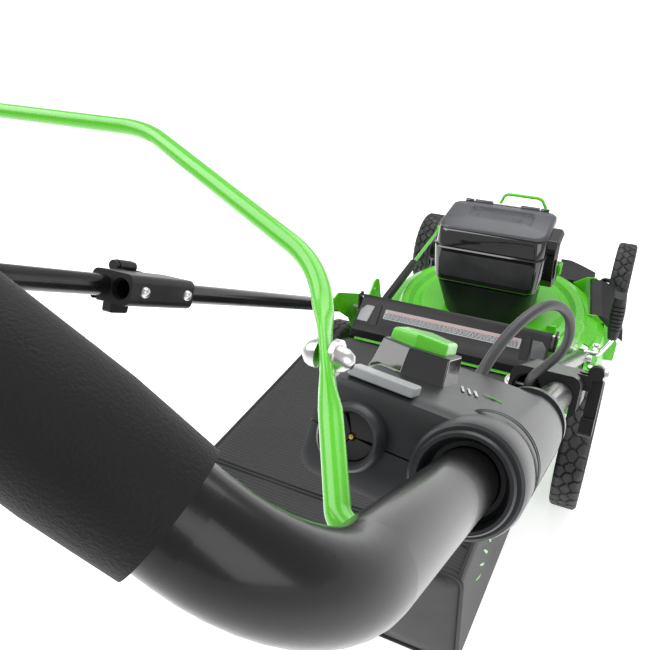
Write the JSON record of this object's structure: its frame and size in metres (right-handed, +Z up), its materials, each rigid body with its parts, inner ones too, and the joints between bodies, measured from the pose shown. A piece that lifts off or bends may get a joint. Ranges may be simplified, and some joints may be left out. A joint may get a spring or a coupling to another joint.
{
  "type": "push lawn mower",
  "caption": "Cordless walk-behind rear-bag push mower: round steel deck, battery motor, telescoping folding handle with bail, height lever and side discharge.",
  "frame": {"origin": "on the ground under the middle of the machine's outline", "axes": "+Y is the way it travels, forwards; +X is the right-hand side of a user who stands behind it, at -Y; +Z is up"},
  "size_m": [0.5804, 1.7337, 1.1191],
  "materials": {
    "green_paint": "gloss painted steel",
    "black_paint": "satin black powder coat",
    "black_plastic": "textured moulding",
    "box_plastic": "fine satin moulding",
    "gloss_black": "high gloss moulding",
    "green_plastic": "glossy moulding",
    "tyre_rubber": "moulded tread",
    "soft_rubber": "soft rubber",
    "foam": "closed cell foam",
    "cable_jacket": "ribbed jacket",
    "chrome_steel": "bright plated",
    "zinc_steel": "zinc plated",
    "blade_steel": "hardened, oiled",
    "cast_aluminium": "as cast",
    "copper_core": "lacquered windings",
    "board": "circuit board",
    "mesh_fabric": "woven polyester mesh"
  },
  "bodies": {
    "deck": {"deck_shell": "green_paint", "rear_chute": "black_plastic", "axle_bushes": "black_plastic", "handle_bracket_right": "green_paint", "handle_bracket_left": "green_paint", "frame_bolts": "zinc_steel", "carry_handle": "green_paint", "height_quadrant": "green_paint", "front_cap": "black_plastic", "hinge_rods": "zinc_steel", "housing_body": "gloss_black", "battery_tray": "black_plastic", "controller_board": "board", "motor_shroud": "black_plastic", "motor_mount": "cast_aluminium", "motor_bearings": "zinc_steel", "motor_stator": "copper_core"},
    "lid": {"battery_lid": "box_plastic"},
    "battery": {"battery_pack": "black_plastic"},
    "key": {"safety_key": "green_plastic"},
    "rotor": {"motor_rotor": "zinc_steel", "motor_shaft": "zinc_steel", "blade_adapter": "cast_aluminium", "cutting_blade": "blade_steel", "blade_bolt": "zinc_steel"},
    "flap": {"rear_flap": "black_plastic"},
    "side_door": {"discharge_door": "black_plastic"},
    "bag": {"bag_fabric": "mesh_fabric", "bag_frame": "black_paint"},
    "rear_crank": {"rear_axle": "black_paint"},
    "front_crank": {"front_axle": "black_paint"},
    "link": {"link_rod": "green_paint", "link_sleeve": "black_plastic"},
    "lever": {"height_lever": "chrome_steel", "lever_grip": "soft_rubber"},
    "wheel_rear_right": {"tyre_rear_right": "tyre_rubber", "rim_rear_right": "black_plastic"},
    "wheel_rear_left": {"tyre_rear_left": "tyre_rubber", "rim_rear_left": "black_plastic"},
    "wheel_front_right": {"tyre_front_right": "tyre_rubber", "rim_front_right": "black_plastic"},
    "wheel_front_left": {"tyre_front_left": "tyre_rubber", "rim_front_left": "black_plastic"},
    "lower_handle": {"lower_tube_right": "black_paint", "lower_tube_left": "black_paint", "clamp_sleeve_right": "black_plastic", "clamp_sleeve_left": "black_plastic", "clamp_rivets": "zinc_steel"},
    "upper_handle": {"handle_tube": "black_paint", "grip_foam": "foam", "box_top": "box_plastic", "box_bottom": "box_plastic", "start_socket": "soft_rubber", "power_cable": "cable_jacket"},
    "start_button": {"start_button": "green_plastic"},
    "bail": {"bail_bar": "green_paint", "bail_nuts": "zinc_steel"},
    "cam_right": {"cam_lever_right": "black_plastic"},
    "cam_left": {"cam_lever_left": "black_plastic"}
  },
  "joints": [
    {"name": "rear_height", "type": "hinge", "parent": "deck", "child": "rear_crank", "pos_m": [0, 0.09215, 0.1273], "axis": [1, 0, 0], "range_deg": [-24, 24]},
    {"name": "front_height", "type": "hinge", "parent": "deck", "child": "front_crank", "pos_m": [0, 0.72515, 0.1017], "axis": [1, 0, 0], "range_deg": [-24, 24]},
    {"name": "link_swing", "type": "hinge", "parent": "rear_crank", "child": "link", "pos_m": [0, 0.09215, 0.2223], "axis": [1, 0, 0], "range_deg": [-24, 24]},
    {"name": "lever_swing", "type": "hinge", "parent": "deck", "child": "lever", "pos_m": [0, 0.34015, 0.118], "axis": [1, 0, 0], "range_deg": [-24, 24]},
    {"name": "wheel_rear_right_spin", "type": "hinge", "parent": "rear_crank", "child": "wheel_rear_right", "pos_m": [0.256, 0.13215, 0.1273], "axis": [1, 0, 0], "continuous": true},
    {"name": "wheel_rear_left_spin", "type": "hinge", "parent": "rear_crank", "child": "wheel_rear_left", "pos_m": [-0.256, 0.13215, 0.1273], "axis": [1, 0, 0], "continuous": true},
    {"name": "wheel_front_right_spin", "type": "hinge", "parent": "front_crank", "child": "wheel_front_right", "pos_m": [0.253, 0.76515, 0.1017], "axis": [1, 0, 0], "continuous": true},
    {"name": "wheel_front_left_spin", "type": "hinge", "parent": "front_crank", "child": "wheel_front_left", "pos_m": [-0.253, 0.76515, 0.1017], "axis": [1, 0, 0], "continuous": true},
    {"name": "blade_spin", "type": "hinge", "parent": "deck", "child": "rotor", "pos_m": [0, 0.43715, 0.15], "axis": [0, 0, 1], "continuous": true},
    {"name": "lid_hinge", "type": "hinge", "parent": "deck", "child": "lid", "pos_m": [0, 0.51815, 0.3985], "axis": [1, 0, 0], "range_deg": [-80, 0]},
    {"name": "battery_lift", "type": "slide", "parent": "deck", "child": "battery", "axis": [0, 0, 1], "range_m": [0, 0.02]},
    {"name": "key_pull", "type": "slide", "parent": "deck", "child": "key", "axis": [1, 0, 0], "range_m": [0, 0.025]},
    {"name": "flap_hinge", "type": "hinge", "parent": "deck", "child": "flap", "pos_m": [0, 0.14015, 0.352], "axis": [1, 0, 0], "range_deg": [-95, 0]},
    {"name": "side_door_hinge", "type": "hinge", "parent": "deck", "child": "side_door", "pos_m": [0.208, 0.56215, 0.172], "axis": [-0.1564, 0.9877, 0], "range_deg": [-80, 0]},
    {"name": "bag_lift", "type": "slide", "parent": "deck", "child": "bag", "axis": [0, -0.9397, 0.3419], "range_m": [0, 0.12]},
    {"name": "handle_fold", "type": "hinge", "parent": "deck", "child": "lower_handle", "pos_m": [0.229, 0.16715, 0.3003], "axis": [1, 0, 0], "range_deg": [-120, 0]},
    {"name": "handle_slide", "type": "slide", "parent": "lower_handle", "child": "upper_handle", "axis": [0, 0.8216, -0.57], "range_m": [0, 0.12], "deforming": ["power_cable"]},
    {"name": "start_press", "type": "slide", "parent": "upper_handle", "child": "start_button", "axis": [-0.1045, -0.5669, -0.8171], "range_m": [0, 0.004], "stiffness_N_per_m": 800},
    {"name": "bail_swing", "type": "hinge", "parent": "upper_handle", "child": "bail", "pos_m": [0, -0.7958, 0.96837], "axis": [1, 0, 0], "range_deg": [0, 85], "stiffness_Nm_per_rad": 0.15, "springref_deg": -11.46},
    {"name": "cam_right_swing", "type": "hinge", "parent": "lower_handle", "child": "cam_right", "pos_m": [0.282, -0.35437, 0.68889], "axis": [0, -0.8216, 0.57], "range_deg": [0, 100]},
    {"name": "cam_left_swing", "type": "hinge", "parent": "lower_handle", "child": "cam_left", "pos_m": [-0.282, -0.35437, 0.68889], "axis": [0, -0.8216, 0.57], "range_deg": [-100, 0]}
  ],
  "couplings": [
    {"joint": "front_height", "follows": "rear_height", "ratio": 1},
    {"joint": "link_swing", "follows": "rear_height", "ratio": -1},
    {"joint": "lever_swing", "follows": "rear_height", "ratio": 1}
  ]
}
